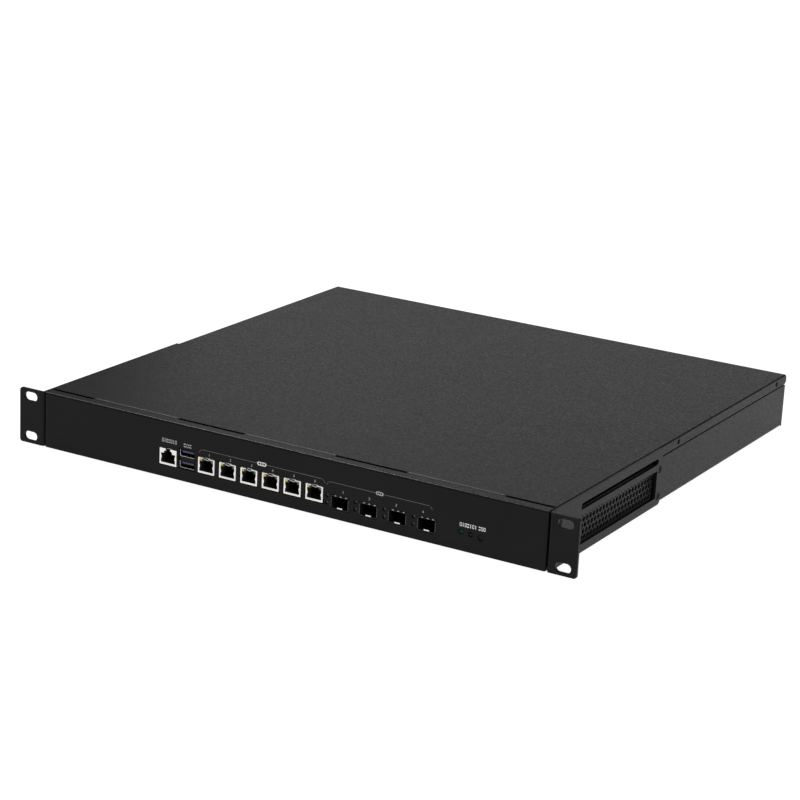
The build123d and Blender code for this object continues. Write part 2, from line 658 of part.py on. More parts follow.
with BuildPart() as rocker:
    with BuildSketch(Plane.XY.offset(ROCKER_Z - 4.8)):
        with Locations(Location((INLET_X, y_at(ROCKER_PIVOT), 0), (0, 0, ROCKER_TILT))):
            Polygon((-6.8, -2.4), (6.8, -2.4), (6.8, 4.1), (0, 2.9), (-6.8, 4.1), align=None)
    extrude(amount=9.6)
    with Locations((INLET_X, y_at(ROCKER_PIVOT), ROCKER_Z)):
        Cylinder(1.0, 11.4)
save(rocker.part, "rocker")

with BuildPart() as power_socket:
    block(140, 166, 196, 206, BOARD_TOP, BOARD_TOP + 11)
save(power_socket.part, "power_socket")

with BuildPart() as power_harness:
    block(141, 165, 206, 214, BOARD_TOP + 1, BOARD_TOP + 10)
    for i in range(6):
        rod(143 + 4 * i, BOARD_TOP + 5.5, 212, 264, 1.3)
    block(141, 165, 262, PSU[2], BOARD_TOP + 3, BOARD_TOP + 8)
save(power_harness.part, "power_harness")
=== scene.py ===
"""The looks of a rack-mount firewall appliance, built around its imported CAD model."""

import json
from math import cos, pi, radians, sin

import bmesh
import bpy
from mathutils import Matrix, Vector
from mathutils.geometry import tessellate_polygon


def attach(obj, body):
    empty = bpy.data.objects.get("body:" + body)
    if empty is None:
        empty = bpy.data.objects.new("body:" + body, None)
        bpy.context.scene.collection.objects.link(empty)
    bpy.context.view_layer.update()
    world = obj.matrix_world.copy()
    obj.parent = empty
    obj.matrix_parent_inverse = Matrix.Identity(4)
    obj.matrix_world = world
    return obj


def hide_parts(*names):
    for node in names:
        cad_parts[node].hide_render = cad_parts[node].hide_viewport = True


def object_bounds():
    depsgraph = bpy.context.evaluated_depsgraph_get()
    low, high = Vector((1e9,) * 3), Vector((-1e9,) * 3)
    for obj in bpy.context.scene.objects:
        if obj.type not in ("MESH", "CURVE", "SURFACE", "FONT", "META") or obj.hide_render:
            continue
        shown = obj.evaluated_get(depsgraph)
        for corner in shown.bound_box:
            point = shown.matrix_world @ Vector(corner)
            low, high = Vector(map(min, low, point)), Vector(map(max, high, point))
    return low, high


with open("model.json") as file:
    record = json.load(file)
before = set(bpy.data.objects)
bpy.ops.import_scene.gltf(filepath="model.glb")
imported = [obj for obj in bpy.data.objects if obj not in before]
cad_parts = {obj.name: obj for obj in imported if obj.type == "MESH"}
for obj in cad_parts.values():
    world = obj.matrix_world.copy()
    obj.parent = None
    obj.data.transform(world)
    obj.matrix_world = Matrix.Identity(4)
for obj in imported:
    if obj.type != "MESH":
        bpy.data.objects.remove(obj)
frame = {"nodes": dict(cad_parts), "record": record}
cad_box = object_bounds()
nodes = frame["nodes"]
scene = bpy.context.scene
HALF_DEPTH = -1000 * cad_box[0][1]  # half of the appliance's depth, in millimetres


def at(x, depth, z):
    """A point in metres from millimetres: X, depth behind the front face, and Z."""
    return Vector((x / 1000, (depth - HALF_DEPTH) / 1000, z / 1000))


# ---------------------------------------------------------------- camera, floor and lights


FLOOR_REACH = 20  # metres from the middle to each edge
FLOOR_DROP = 0.0002  # metres of air under the appliance, so that the two faces stay apart
FLOOR_GLOW = 0.955
STUDIO_GLOW = 0.15  # the light from all round
BACKDROP_GLOW = 0.98  # the white that the camera sees beyond the floor
WHITE = (1, 1, 1, 1)


def make_camera():
    """The photograph's view, from the front right and above."""
    data = bpy.data.cameras.new("camera")
    data.lens = 110.968
    data.sensor_width = 36
    data.shift_x = 0.0093
    data.shift_y = 0.0115
    data.clip_start = 0.05
    camera = bpy.data.objects.new("camera", data)
    camera.location = at(915.33, -1425.22, 604.52)
    camera.rotation_euler = (radians(72.681), radians(-2.640), radians(30.885))
    scene.collection.objects.link(camera)
    scene.camera = camera


def make_floor():
    """A plain floor that glows nearly white."""
    bm = bmesh.new()
    bmesh.ops.create_grid(bm, x_segments=1, y_segments=1, size=FLOOR_REACH)
    mesh = bpy.data.meshes.new("floor")
    bm.to_mesh(mesh)
    bm.free()
    floor = bpy.data.objects.new("floor", mesh)
    floor.location = (0, 0, -FLOOR_DROP)
    scene.collection.objects.link(floor)
    paint = bpy.data.materials.new("floor_paint")
    paint.use_nodes = True
    shader = paint.node_tree.nodes["Principled BSDF"]
    shader.inputs["Base Color"].default_value = (0.15, 0.15, 0.15, 1)
    shader.inputs["Roughness"].default_value = 0.9
    shader.inputs["Specular IOR Level"].default_value = 0.1
    shader.inputs["Emission Color"].default_value = WHITE
    shader.inputs["Emission Strength"].default_value = FLOOR_GLOW
    mesh.materials.append(paint)


def make_light(name, place, target, power, size, height=None):
    """A rectangular lamp at a place, turned towards a target, that the camera doesn't see."""
    data = bpy.data.lights.new(name, "AREA")
    data.energy = power
    data.shape = "RECTANGLE"
    data.size = size
    data.size_y = height or size
    light = bpy.data.objects.new(name, data)
    light.location = place
    aim = Vector(target) - Vector(place)
    light.rotation_euler = aim.to_track_quat("-Z", "Y").to_euler()
    light.visible_camera = False
    scene.collection.objects.link(light)


def make_world():
    """A dim studio for the light, with a white backdrop beyond the floor's edge."""
    world = bpy.data.worlds.new("studio")
    world.use_nodes = True
    tree = world.node_tree
    background = tree.nodes["Background"]
    background.inputs["Color"].default_value = WHITE
    background.inputs["Strength"].default_value = STUDIO_GLOW
    backdrop = tree.nodes.new("ShaderNodeBackground")
    backdrop.inputs["Color"].default_value = WHITE
    backdrop.inputs["Strength"].default_value = BACKDROP_GLOW
    rays = tree.nodes.new("ShaderNodeLightPath")
    mix = tree.nodes.new("ShaderNodeMixShader")
    tree.links.new(rays.outputs["Is Camera Ray"], mix.inputs["Fac"])
    tree.links.new(background.outputs["Background"], mix.inputs[1])
    tree.links.new(backdrop.outputs["Background"], mix.inputs[2])
    tree.links.new(mix.outputs["Shader"], tree.nodes["World Output"].inputs["Surface"])
    scene.world = world


make_camera()
make_floor()
make_world()
make_light("key_light", (-1.15, 0.35, 1.9), (-0.05, -0.1, 0), power=48, size=0.7)
make_light("side_fill", (1.7, -0.9, 1.0), (0.2, -0.1, 0.02), power=15, size=0.6)
make_light("back_panel", (-0.5, 1.3, 0.52), (0, 0, 0.1), power=1.2, size=1.2, height=0.5)
scene.view_settings.view_transform = "Standard"


# ---------------------------------------------------------------- materials


NOISE_LOW, NOISE_HIGH = 0.3, 0.7  # the part of a noise texture's range that is used
COAT_GRAIN = 650  # cells per metre
METAL_GRAIN = 900
PLASTIC_GRAIN = 1800
COAT_SHINE = 0.09  # the gloss of the powder coat
DULL_SHINE = 0.15  # and of plastic that has to stay dark


def new_material(name, color, roughness, metallic=0.0):
    """A material with its shader's own values set, ready for its textures."""
    made = bpy.data.materials.new(name)
    made.use_nodes = True
    shader = made.node_tree.nodes["Principled BSDF"]
    shader.inputs["Base Color"].default_value = (*color, 1)
    shader.inputs["Roughness"].default_value = roughness
    shader.inputs["Metallic"].default_value = metallic
    return made


def add_noise(made, scale, detail, stretch=(1, 1, 1)):
    """A noise texture in object space, in cells per metre times stretch."""
    tree = made.node_tree
    place = tree.nodes.new("ShaderNodeTexCoord")
    mapping = tree.nodes.new("ShaderNodeMapping")
    mapping.inputs["Scale"].default_value = stretch
    noise = tree.nodes.new("ShaderNodeTexNoise")
    noise.inputs["Scale"].default_value = scale
    noise.inputs["Detail"].default_value = detail
    tree.links.new(place.outputs["Object"], mapping.inputs["Vector"])
    tree.links.new(mapping.outputs["Vector"], noise.inputs["Vector"])
    return noise


def vary_color(made, noise, dark, light):
    """The base colour wanders between dark and light."""
    tree = made.node_tree
    ramp = tree.nodes.new("ShaderNodeValToRGB")
    ramp.color_ramp.elements[0].position = NOISE_LOW
    ramp.color_ramp.elements[0].color = (*dark, 1)
    ramp.color_ramp.elements[1].position = NOISE_HIGH
    ramp.color_ramp.elements[1].color = (*light, 1)
    tree.links.new(noise.outputs["Fac"], ramp.inputs["Fac"])
    tree.links.new(ramp.outputs["Color"], tree.nodes["Principled BSDF"].inputs["Base Color"])


def vary_roughness(made, noise, low, high):
    """The roughness wanders between low and high."""
    tree = made.node_tree
    span = tree.nodes.new("ShaderNodeMapRange")
    span.inputs["From Min"].default_value = NOISE_LOW
    span.inputs["From Max"].default_value = NOISE_HIGH
    span.inputs["To Min"].default_value = low
    span.inputs["To Max"].default_value = high
    tree.links.new(noise.outputs["Fac"], span.inputs["Value"])
    tree.links.new(span.outputs["Result"], tree.nodes["Principled BSDF"].inputs["Roughness"])


def add_bump(made, noise, strength, distance):
    """The noise raises and lowers the surface, by a distance in metres."""
    tree = made.node_tree
    bump = tree.nodes.new("ShaderNodeBump")
    bump.inputs["Strength"].default_value = strength
    bump.inputs["Distance"].default_value = distance
    tree.links.new(noise.outputs["Fac"], bump.inputs["Height"])
    tree.links.new(bump.outputs["Normal"], tree.nodes["Principled BSDF"].inputs["Normal"])


def gray(value):
    """A near-neutral grey, a trace cool."""
    return (value, value * 1.005, value * 1.01)


def set_shine(made, level):
    """The strength of a material's gloss, where 0.5 is the usual."""
    made.node_tree.nodes["Principled BSDF"].inputs["Specular IOR Level"].default_value = level


def coated(name, base, roughness):
    """Powder-coated sheet steel: a fine orange-peel grain and faint cloudy variation."""
    made = new_material(name, gray(base), roughness)
    set_shine(made, COAT_SHINE)
    fine = add_noise(made, COAT_GRAIN, 4)
    cloud = add_noise(made, 26, 2)
    vary_color(made, cloud, gray(base * 0.88), gray(base * 1.12))
    vary_roughness(made, fine, roughness - 0.1, roughness + 0.1)
    add_bump(made, fine, 0.45, 0.0002)
    return made


def metal(name, color, roughness, stretch=(1, 1, 1)):
    """Bare or plated metal, with a fine drawn or blasted grain."""
    made = new_material(name, color, roughness, 1.0)
    grain = add_noise(made, METAL_GRAIN, 3, stretch)
    cloud = add_noise(made, 60, 2)
    vary_color(made, cloud, [c * 0.9 for c in color], [min(1, c * 1.06) for c in color])
    vary_roughness(made, grain, max(0.05, roughness - 0.08), roughness + 0.1)
    add_bump(made, grain, 0.12, 0.00005)
    return made


def plastic(name, color, roughness, bump=0.1):
    """Moulded plastic, a lens or printing ink, with a faint grain."""
    made = new_material(name, color, roughness)
    grain = add_noise(made, PLASTIC_GRAIN, 2)
    cloud = add_noise(made, 90, 2)
    vary_color(made, cloud, [c * 0.85 for c in color], [c * 1.15 for c in color])
    vary_roughness(made, grain, max(0.05, roughness - 0.05), roughness + 0.08)
    add_bump(made, grain, bump, 0.00005)
    return made


coat = coated("powder_coat", 0.008, 0.35)
screw_black = metal("screw_black", (0.035, 0.035, 0.036), 0.4)
screw_dark = metal("screw_dark", (0.006, 0.006, 0.006), 0.5)
# painted highlight: a much lighter coat for the bright line along the cover's fold
painted_highlight_coat = coated("painted_highlight_coat", 0.2, 0.3)
# painted light: a lighter copy of the powder coat, so the side mesh strands look lit
painted_light_mesh_coat = coated("painted_light_mesh_coat", 0.033, 0.4)
zinc = metal("zinc", (0.55, 0.56, 0.57), 0.38, (1, 6, 1))
nickel = metal("nickel", (0.66, 0.65, 0.63), 0.26)
aluminium = metal("aluminium", (0.72, 0.73, 0.74), 0.35, (1, 8, 1))
board_green = plastic("board_green", (0.012, 0.055, 0.03), 0.4)
black_plastic = plastic("black_plastic", (0.012, 0.012, 0.013), 0.45)
blue_plastic = plastic("blue_plastic", (0.03, 0.042, 0.11), 0.4)
dull_black = plastic("dull_black", (0.004, 0.004, 0.0045), 0.5)
gold = metal("gold", (0.85, 0.62, 0.28), 0.25)
lamp_green = plastic("lamp_green", (0.004, 0.035, 0.012), 0.3, 0.02)
lamp_red = plastic("lamp_red", (0.009, 0.003, 0.004), 0.3, 0.02)
lamp_clear = plastic("lamp_clear", (0.03, 0.03, 0.032), 0.2, 0.02)
for dull in (dull_black, lamp_green, lamp_red):
    set_shine(dull, DULL_SHINE)
SLOT_MATERIALS = {
    "powder_coat": coat,
    "screw_black": screw_black,
    "zinc": zinc,
    "nickel": nickel,
    "aluminium": aluminium,
    "board_green": board_green,
    "black_plastic": black_plastic,
    "blue_plastic": blue_plastic,
    "gold": gold,
    "lamp_green": lamp_green,
    "lamp_red": lamp_red,
    "lamp_clear": lamp_clear,
}

for part in frame["record"]["subparts"]:
    mesh = nodes[part["node"]].data
    mesh.materials.clear()
    mesh.materials.append(SLOT_MATERIALS[part["material_slot"]])
# the side meshes take the lighter copy of the coat, painted light on their strands
for name in ("side_mesh_left", "side_mesh_right"):
    nodes[name].data.materials[0] = painted_light_mesh_coat


# ---------------------------------------------------------------- building in mesh


MERGE_DISTANCE = 0.0005  # millimetres
SHADE_ANGLE = radians(35)  # an edge sharper than this is shaded sharp
BEVEL_ANGLE = radians(40)  # an edge sharper than this is rounded


def settle(bm, name, material, body="housing", bevel=0.0, smooth=False):
    """Turns a bmesh in millimetres into a piece that rides on a body."""
    bmesh.ops.remove_doubles(bm, verts=bm.verts, dist=MERGE_DISTANCE)
    bmesh.ops.recalc_face_normals(bm, faces=bm.faces)
    for vert in bm.verts:
        vert.co = at(*vert.co)
    mesh = bpy.data.meshes.new(name)
    bm.to_mesh(mesh)
    bm.free()
    if smooth or bevel:
        for face in mesh.polygons:
            face.use_smooth = True
    mesh.set_sharp_from_angle(angle=SHADE_ANGLE)
    mesh.materials.append(material)
    piece = bpy.data.objects.new(name, mesh)
    scene.collection.objects.link(piece)
    if bevel:
        soften(piece, bevel)
    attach(piece, body)
    return piece


def soften(piece, width, segments=2):
    """Rounds the sharp edges of a piece, by a width in millimetres."""
    rounding = piece.modifiers.new("soft_edges", "BEVEL")
    rounding.width = width / 1000
    rounding.segments = segments
    rounding.limit_method = "ANGLE"
    rounding.angle_limit = BEVEL_ANGLE
    rounding.harden_normals = True
    rounding.use_clamp_overlap = True


def block(bm, x0, x1, d0, d1, z0, z1):
    """A solid block between two X, two depths and two heights."""
    corners = [bm.verts.new((x, d, z)) for x in (x0, x1) for d in (d0, d1) for z in (z0, z1)]
    sides = ((0, 1, 3, 2), (4, 6, 7, 5))
    sides += ((0, 4, 5, 1), (2, 3, 7, 6))
    sides += ((0, 2, 6, 4), (1, 5, 7, 3))
    for quad in sides:
        bm.faces.new([corners[i] for i in quad])


def plate(bm, loops, d0, d1):
    """A plate with holes: loops of (x, z), the outer one first, between two depths."""
    flat = [point for loop in loops for point in loop]
    near = [bm.verts.new((x, d0, z)) for x, z in flat]
    far = [bm.verts.new((x, d1, z)) for x, z in flat]
    polygons = [[Vector((x, z, 0)) for x, z in loop] for loop in loops]
    for triangle in tessellate_polygon(polygons):
        bm.faces.new([near[i] for i in triangle])
        bm.faces.new([far[i] for i in reversed(triangle)])
    first = 0
    for loop in loops:
        count = len(loop)
        for i in range(count):
            j = (i + 1) % count
            a, b = first + i, first + j
            bm.faces.new((near[a], near[b], far[b], far[a]))
        first += count


def rounded(x0, x1, z0, z1, radius, steps=4):
    """A rounded rectangle as a loop of (x, z)."""
    points = []
    corners = ((x1 - radius, z1 - radius, 0), (x0 + radius, z1 - radius, 90))
    corners += ((x0 + radius, z0 + radius, 180), (x1 - radius, z0 + radius, 270))
    for cx, cz, turn in corners:
        for i in range(steps + 1):
            angle = radians(turn + 90 * i / steps)
            points.append((cx + radius * cos(angle), cz + radius * sin(angle)))
    return points


def turns(steps):
    """The angles of equal steps once round."""
    return [2 * pi * i / steps for i in range(steps)]


def circle(x, z, radius, steps):
    """A circle as a loop of (x, z)."""
    return [(x + radius * cos(a), z + radius * sin(a)) for a in turns(steps)]


def turned(bm, x, z, profile, steps=32):
    """A solid turned round an axis along Y. The profile lists (radius, depth) from end to end."""
    rings = []
    for radius, depth in profile:
        if radius == 0:
            rings.append([bm.verts.new((x, depth, z))])
        else:
            ring = circle(x, z, radius, steps)
            rings.append([bm.verts.new((u, depth, v)) for u, v in ring])
    for lower, upper in zip(rings, rings[1:]):
        for i in range(steps):
            j = (i + 1) % steps
            quad = [lower[i % len(lower)], lower[j % len(lower)]]
            quad += [upper[j % len(upper)], upper[i % len(upper)]]
            unique = list(dict.fromkeys(quad))
            if len(unique) > 2:
                bm.faces.new(unique)


def ribbon(bm, points, width, thickness, x):
    """A flat spring in the Y-Z plane: points of (depth, z), its width along X round x."""
    rows = []
    for i, (depth, z) in enumerate(points):
        before = Vector(points[max(0, i - 1)])
        after = Vector(points[min(len(points) - 1, i + 1)])
        along = (after - before).normalized()
        out = Vector((-along.y, along.x)) * thickness / 2
        row = []
        for side, u in ((1, -1), (1, 1), (-1, 1), (-1, -1)):
            spot = (x + u * width / 2, depth + side * out.x, z + side * out.y)
            row.append(bm.verts.new(spot))
        rows.append(row)
    for a, b in zip(rows, rows[1:]):
        for i in range(4):
            j = (i + 1) % 4
            bm.faces.new((a[i], a[j], b[j], b[i]))
    bm.faces.new(rows[0])
    bm.faces.new(list(reversed(rows[-1])))


# ---------------------------------------------------------------- casing edges


for name in ("front_panel", "chassis_tray", "rear_panel"):
    soften(nodes[name], 0.18)
soften(nodes["top_cover"], 0.45, 3)
for name in ("rack_ear_left", "rack_ear_right"):
    soften(nodes[name], 0.3, 3)


# ---------------------------------------------------------------- network jacks


# Lengths from here on are in millimetres, in the axes of at().
CONSOLE_X = -100.75
USB_X = -83.9
LAN_XS = [-66.1 + 18.95 * i for i in range(6)]
SFP_XS = [50.35 + 24.0 * i for i in range(4)]
SHEET = 0.3  # thickness of the sheet metal round jacks and cages
BOARD_TOP = 7.6  # the height of the circuit board's upper face
SLEEVE_FRONT = 1.2  # where a jack's sleeve begins, behind its face plate
POCKET_BACK = 13.5  # the end of the hollow that takes a plug
JACK_BACK = 19.0
STEP_WIDTH, STEP_HEIGHT = 1.6, 1.3  # the step beside a latch notch
WIRE_PITCH = 1.02  # between a jack's eight contacts


def mirrored(x, right):
    """A loop of (x, z) from its right half, whose points are (distance from x, z)."""
    left = [(x - u, z) for u, z in right]
    loop = [left[0]] + [(x + u, z) for u, z in right]
    return loop + left[:0:-1]


def feet_and_back(bm, x, half, low, high):
    """The back of a jack's sleeve, and the two feet that go down to the board."""
    inner = half - SHEET
    block(bm, x - inner, x + inner, JACK_BACK - SHEET, JACK_BACK, low + SHEET, high - SHEET)
    for side in (-1, 1):
        leg = x + side * (half - 0.5)
        block(bm, leg - 0.4, leg + 0.4, 9.0, 11.0, BOARD_TOP, low + 0.2)


def sleeve(bm, x, half, low, high):
    """The sheet-metal box round a jack, open in front and behind."""
    outer = rounded(x - half, x + half, low, high, 0.4)
    inner = half - SHEET
    inside = rounded(x - inner, x + inner, low + SHEET, high - SHEET, 0.3)
    plate(bm, [outer, inside], SLEEVE_FRONT, JACK_BACK)


def mouth_outline(x, z0, shoulder, notch_z, half, notch):
    """A jack's stepped mouth, with its latch notch at the top."""
    step = notch + STEP_WIDTH
    stair = shoulder + STEP_HEIGHT
    right = [(half, z0), (half, shoulder), (step, shoulder)]
    right += [(step, stair), (notch, stair), (notch, notch_z)]
    return mirrored(x, right)


def housing(bm, x, z0, z1, half, outline, recess):
    """A moulded jack body: its face with the mouth, and the walls of the pocket behind."""
    face = [(x - half, z0), (x + half, z0), (x + half, z1), (x - half, z1)]
    plate(bm, [face, outline], recess, POCKET_BACK)
    block(bm, x - half, x + half, POCKET_BACK, JACK_BACK - 0.5, z0, z1)


def contacts(bm, x, z):
    """Eight spring wires that rise from the floor of the pocket towards its back."""
    wire = [(5.2, z), (5.8, z + 0.1), (10.6, z + 2.3), (12.6, z + 2.5)]
    for i in range(8):
        ribbon(bm, wire, 0.4, 0.3, x + (i - 3.5) * WIRE_PITCH)


def lan_jack(number, x):
    """A network jack: its shield, housing, contacts, latch spring and two lamps."""
    name = f"lan_jack_{number}"
    half = 7.35
    low, high = 10.1, 22.05
    bm = bmesh.new()
    frame_outline = [
        (x - half, low),
        (x + half, low),
        (x + half, high),
        (x + 1.9, high),
        (x + 1.9, high - 0.65),
        (x + 6.1, high - 0.65),
        (x + 6.1, 16.9),
        (x + 5.6, 16.4),
        (x + 5.6, 14.7),
        (x + 6.1, 14.2),
        (x + 6.1, low + 1.5),
        (x - 6.1, low + 1.5),
        (x - 6.1, 14.2),
        (x - 5.6, 14.7),
        (x - 5.6, 16.4),
        (x - 6.1, 16.9),
        (x - 6.1, high - 0.65),
        (x - 2.7, high - 0.65),
        (x - 2.7, high),
        (x - half, high),
    ]
    plate(bm, [frame_outline], -0.15, 0.35)
    sleeve(bm, x, half, low, high)
    inner = half - SHEET
    trough = [(half, low), (half, low + 1.2), (inner, low + 1.2), (inner, low + SHEET)]
    plate(bm, [mirrored(x, trough)], 0.35, SLEEVE_FRONT)
    feet_and_back(bm, x, half, low, high)
    shield = settle(bm, name + "_shield", jack_plate, bevel=0.12)
    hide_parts(name)

    bm = bmesh.new()
    outline = mouth_outline(x, low + 1.7, 18.6, 20.2, 5.9, 1.9)
    housing(bm, x, low + 0.35, high - 0.35, half - 0.35, outline, 0.9)
    settle(bm, name + "_housing", black_plastic, bevel=0.1)

    bm = bmesh.new()
    contacts(bm, x, low + 1.9)
    settle(bm, name + "_contacts", gold)

    bm = bmesh.new()
    spring = [(x - 2.3, 21.35), (x - 2.0, 21.45), (x + 1.7, 20.95), (x + 1.6, 20.35)]
    plate(bm, [spring + [(x + 1.2, 20.3), (x - 2.2, 20.8)]], 0.15, 0.8)
    settle(bm, name + "_latch_spring", spring_steel, bevel=0.06)

    dome = [(0, 0.02), (0.7, 0.08), (1.1, 0.3), (1.25, 0.6), (1.25, 3.0), (0, 3.0)]
    for label, shift, lens in (("left", -5.75, lens_yellow), ("right", 5.2, lens_green)):
        bm = bmesh.new()
        turned(bm, x + shift, 20.3, dome, 20)
        settle(bm, f"{name}_lamp_{label}", lens, smooth=True)


def console_jack():
    """The console jack, larger than the others, with no lamps."""
    x = CONSOLE_X
    half = 7.65
    low, high = 9.75, 22.3
    bm = bmesh.new()
    face = [
        (x - half, low),
        (x + half, low),
        (x + half, high),
        (x + 2.0, high),
        (x + 2.0, 21.0),
        (x + 3.6, 19.9),
        (x + 3.6, 18.6),
        (x + 6.4, 18.6),
        (x + 6.4, 17.0),
        (x + 5.9, 16.4),
        (x + 5.9, 14.7),
        (x + 6.4, 14.1),
        (x + 6.4, 11.3),
        (x - 6.4, 11.3),
        (x - 6.4, 14.1),
        (x - 5.9, 14.7),
        (x - 5.9, 16.4),
        (x - 6.4, 17.0),
        (x - 6.4, 18.6),
        (x - 3.9, 18.6),
        (x - 3.9, 19.9),
        (x - 2.2, 21.0),
        (x - 2.2, high),
        (x - half, high),
    ]
    plate(bm, [face], -0.15, 0.5)
    sleeve(bm, x, half, low, high)
    feet_and_back(bm, x, half, low, high)
    shield = settle(bm, "console_jack_shield", jack_plate, bevel=0.12)
    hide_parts("console_jack")
    bm = bmesh.new()
    outline = mouth_outline(x, 11.5, 18.4, 21.4, 6.2, 2.0)
    housing(bm, x, low + 0.35, high - 0.35, half - 0.35, outline, 0.6)
    settle(bm, "console_jack_housing", black_plastic, bevel=0.1)
    bm = bmesh.new()
    contacts(bm, x, 11.9)
    settle(bm, "console_jack_contacts", gold)


lens_yellow = plastic("lens_yellow", (0.62, 0.47, 0.05), 0.16, 0.02)
lens_green = plastic("lens_green", (0.03, 0.2, 0.09), 0.16, 0.02)
spring_steel = metal("spring_steel", (0.42, 0.41, 0.4), 0.35)
jack_plate = metal("jack_plate", (0.78, 0.76, 0.73), 0.3)
console_jack()
for number, lan_x in enumerate(LAN_XS, 1):
    lan_jack(number, lan_x)


# ---------------------------------------------------------------- USB sockets


def usb_sockets():
    """Two USB sockets in one body: each mouth is its lowest and highest Z."""
    x = USB_X
    half = 6.95
    top = 24.95
    front = 1.05
    lining_front = 2.9
    mouths = ((10.2, 15.6), (19.0, 24.4))
    bm = bmesh.new()
    body = rounded(x - half, x + half, 9.95, top, 0.5)
    holes = [rounded(x - half + 0.3, x + half - 0.6, a, b, 0.3) for a, b in mouths]
    plate(bm, [body] + holes, front, 12.0)
    block(bm, x - half, x + half, 12.0, 18.0, BOARD_TOP, top)
    shell = settle(bm, "usb_body", dull_black, bevel=0.15)
    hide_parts("usb_shell")

    bm = bmesh.new()
    for a, b in mouths:
        block(bm, x - half + 0.3, x - half + 0.55, front + 0.05, lining_front, a + 0.2, b - 0.2)
        block(bm, x - half + 0.5, x + half - 0.9, front + 0.05, 2.3, a, a + 0.25)
    settle(bm, "usb_sheet", jack_plate, bevel=0.05)

    # painted shade: the inside of each mouth is lined dull black in place of its metal walls,
    # which stay bright metal only on the lit left wall and floor near the mouth
    bm = bmesh.new()
    for a, b in mouths:
        lining = rounded(x - half + 0.3, x + half - 0.6, a, b, 0.3)
        core = rounded(x - half + 0.6, x + half - 0.9, a + 0.3, b - 0.3, 0.2)
        plate(bm, [lining, core], lining_front, 11.9)
        block(bm, x - half + 0.6, x + half - 0.9, 11.0, 11.9, a + 0.1, b - 0.1)
    settle(bm, "usb_shade_lining", dull_black, bevel=0.05)

    bm = bmesh.new()
    for a, b in mouths:
        plate(bm, [rounded(x - 5.0, x + 5.2, b - 2.4, b - 0.9, 0.25)], 1.8, 11.5)
    tongues = settle(bm, "usb_tongue_bars", blue_plastic, bevel=0.15)
    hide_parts("usb_tongues")

    bm = bmesh.new()
    for a, b in mouths:
        for i in range(4):
            pin_x = x + (i - 1.5) * 2.3
            block(bm, pin_x - 0.5, pin_x + 0.5, 2.2, 10.9, b - 2.52, b - 2.38)
    a = mouths[1][0]
    for dx in (-2.4, 2.9):
        spring = [(1.1, a + 0.25), (1.5, a + 0.7), (2.1, a + 0.7), (5.0, a + 0.35)]
        ribbon(bm, spring, 1.0, 0.2, x + dx)
    settle(bm, "usb_springs", spring_steel)


usb_sockets()


# ---------------------------------------------------------------- module cages


def sfp_cage(number, x):
    """A module cage with its side fingers, the catch in its floor and the springs on top."""
    name = f"sfp_cage_{number}"
    half = 7.2
    low, high = 7.75, 17.55
    back = 46.7
    bm = bmesh.new()
    outer = rounded(x - half, x + half, low, high, 0.4)
    inner = rounded(x - half + SHEET, x + half - SHEET, low + SHEET, high - SHEET, 0.25)
    plate(bm, [outer, inner], -0.05, back)
    block(bm, x - half, x + half, back, back + SHEET, low, high)
    for side in (-1, 1):
        for z in (10.2, 12.6, 15.0):
            root = x + side * (half + 0.02)
            tip = root + side * 0.42
            finger = [(root, z - 0.9), (tip, z - 0.7), (tip, z + 0.7), (root, z + 0.9)]
            plate(bm, [finger], 0.0, 1.3)
    cage = settle(bm, name + "_sheet", cage_steel, bevel=0.1)
    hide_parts(name)

    bm = bmesh.new()
    lip = [(-0.1, low + 0.6), (-0.1, low + 1.4), (0.7, low + 1.6), (1.6, low + 0.8)]
    ribbon(bm, lip, 4.4, 0.3, x + 0.3)
    settle(bm, name + "_catch", jack_plate, bevel=0.06)

    bm = bmesh.new()
    for dx in (-3.7, 0.8, 5.2):
        bump = [(x + dx - 0.9, high - 0.1), (x + dx + 0.9, high - 0.1)]
        bump += [(x + dx + 0.5, high + 0.5), (x + dx - 0.5, high + 0.5)]
        plate(bm, [bump], -0.15, 1.3)
    settle(bm, name + "_springs", spring_steel, bevel=0.06)


cage_steel = metal("cage_steel", (0.07, 0.07, 0.07), 0.45)
for number, sfp_x in enumerate(SFP_XS, 1):
    sfp_cage(number, sfp_x)


# ---------------------------------------------------------------- lamps and the reset button


def lamp(name, x, z, radius, material):
    """A lens whose domed face sits just inside its hole, on a square foot."""
    bm = bmesh.new()
    dome = [(0, 0.25), (radius * 0.4, 0.3), (radius * 0.75, 0.5)]
    turned(bm, x, z, dome + [(radius, 0.9), (radius, 6.0), (0, 6.0)])
    block(bm, x - 2.2, x + 2.2, 5.0, 9.0, BOARD_TOP, z + 2.2)
    piece = settle(bm, name + "_lens", material, smooth=True)
    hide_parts(name)


LAMP_RADIUS = 1.75
lamp("power_lamp", 150.2, 14.2, LAMP_RADIUS, lamp_green)
lamp("status_lamp", 157.9, 13.6, LAMP_RADIUS, lamp_red)


def reset_button():
    """A dished cap, a collar behind the panel and a stem down to the switch."""
    stem, cap, collar = 1.0, 2.08, 3.0
    profile = [(0, 0.55), (1.3, 0.52), (1.7, 0.35), (1.9, 0.3), (cap, 0.5), (cap, 2.0)]
    profile += [(collar, 2.1), (collar, 3.0), (cap, 3.1), (cap, 5.0)]
    profile += [(stem, 5.1), (stem, 10.0), (0, 10.0)]
    bm = bmesh.new()
    turned(bm, 165.8, 12.7, profile)
    button = settle(
        bm, "reset_button_cap", dull_black, "reset_button", smooth=True
    )
    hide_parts("reset_button")


reset_button()


# ---------------------------------------------------------------- screws in the sides


